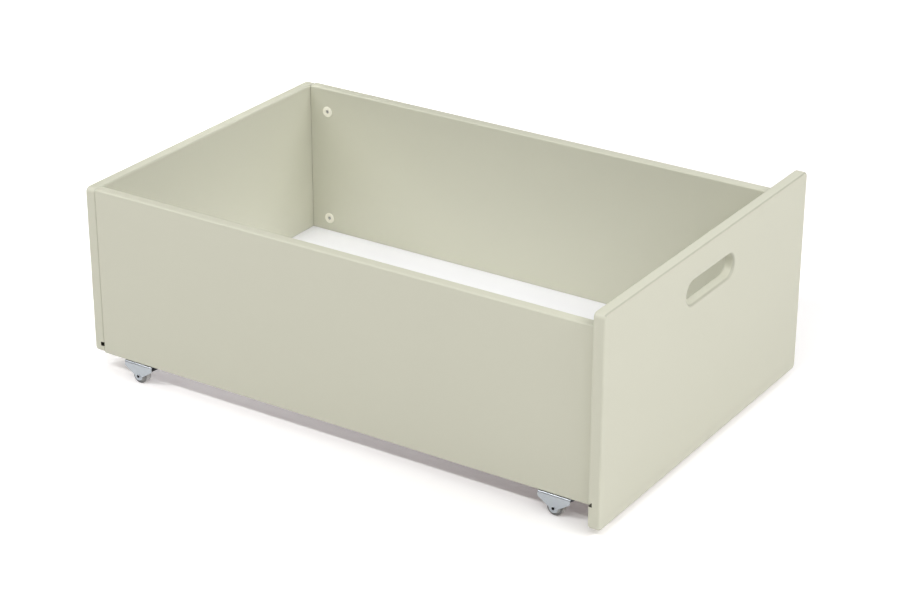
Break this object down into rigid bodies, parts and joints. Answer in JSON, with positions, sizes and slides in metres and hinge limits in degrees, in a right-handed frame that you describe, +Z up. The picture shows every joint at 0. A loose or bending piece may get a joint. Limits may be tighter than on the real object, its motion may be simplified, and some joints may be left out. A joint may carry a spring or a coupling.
{
  "type": "under bed box",
  "caption": "Low open storage box of painted board on small fixed casters, with an oversize front panel, a hand slot, a grooved-in base and cam-locked corners.",
  "frame": {"origin": "middle of the box's footprint, on the floor that the wheels stand on", "axes": "+Y from the front panel to the back panel, +X to the right seen from the front, +Z up"},
  "size_m": [0.6, 0.9, 0.334],
  "materials": {
    "painted_board": "satin paint on fibreboard",
    "white_board": "smooth white facing",
    "cream_plastic": "moulded",
    "cam_metal": "die cast",
    "zinc_steel": "bright zinc plated",
    "wheel_plastic": "moulded",
    "dowel_wood": "raw"
  },
  "bodies": {
    "box": {"front_panel": "painted_board", "back_panel": "painted_board", "left_side_panel": "painted_board", "right_side_panel": "painted_board", "base_panel": "white_board", "cam_housings": "cream_plastic", "cam_locks": "cam_metal", "cam_bolts": "zinc_steel", "wood_dowels": "dowel_wood", "front_left_bracket": "zinc_steel", "front_right_bracket": "zinc_steel", "rear_left_bracket": "zinc_steel", "rear_right_bracket": "zinc_steel", "front_left_axle": "zinc_steel", "front_right_axle": "zinc_steel", "rear_left_axle": "zinc_steel", "rear_right_axle": "zinc_steel", "caster_screws": "zinc_steel"},
    "roller_front_left": {"front_left_wheel": "wheel_plastic"},
    "roller_front_right": {"front_right_wheel": "wheel_plastic"},
    "roller_rear_left": {"rear_left_wheel": "wheel_plastic"},
    "roller_rear_right": {"rear_right_wheel": "wheel_plastic"}
  },
  "joints": [
    {"name": "front_left_roll", "type": "hinge", "parent": "box", "child": "roller_front_left", "pos_m": [-0.271, -0.367, 0.0125], "axis": [1, 0, 0], "continuous": true},
    {"name": "front_right_roll", "type": "hinge", "parent": "box", "child": "roller_front_right", "pos_m": [0.271, -0.367, 0.0125], "axis": [1, 0, 0], "continuous": true},
    {"name": "rear_left_roll", "type": "hinge", "parent": "box", "child": "roller_rear_left", "pos_m": [-0.271, 0.367, 0.0125], "axis": [1, 0, 0], "continuous": true},
    {"name": "rear_right_roll", "type": "hinge", "parent": "box", "child": "roller_rear_right", "pos_m": [0.271, 0.367, 0.0125], "axis": [1, 0, 0], "continuous": true}
  ]
}
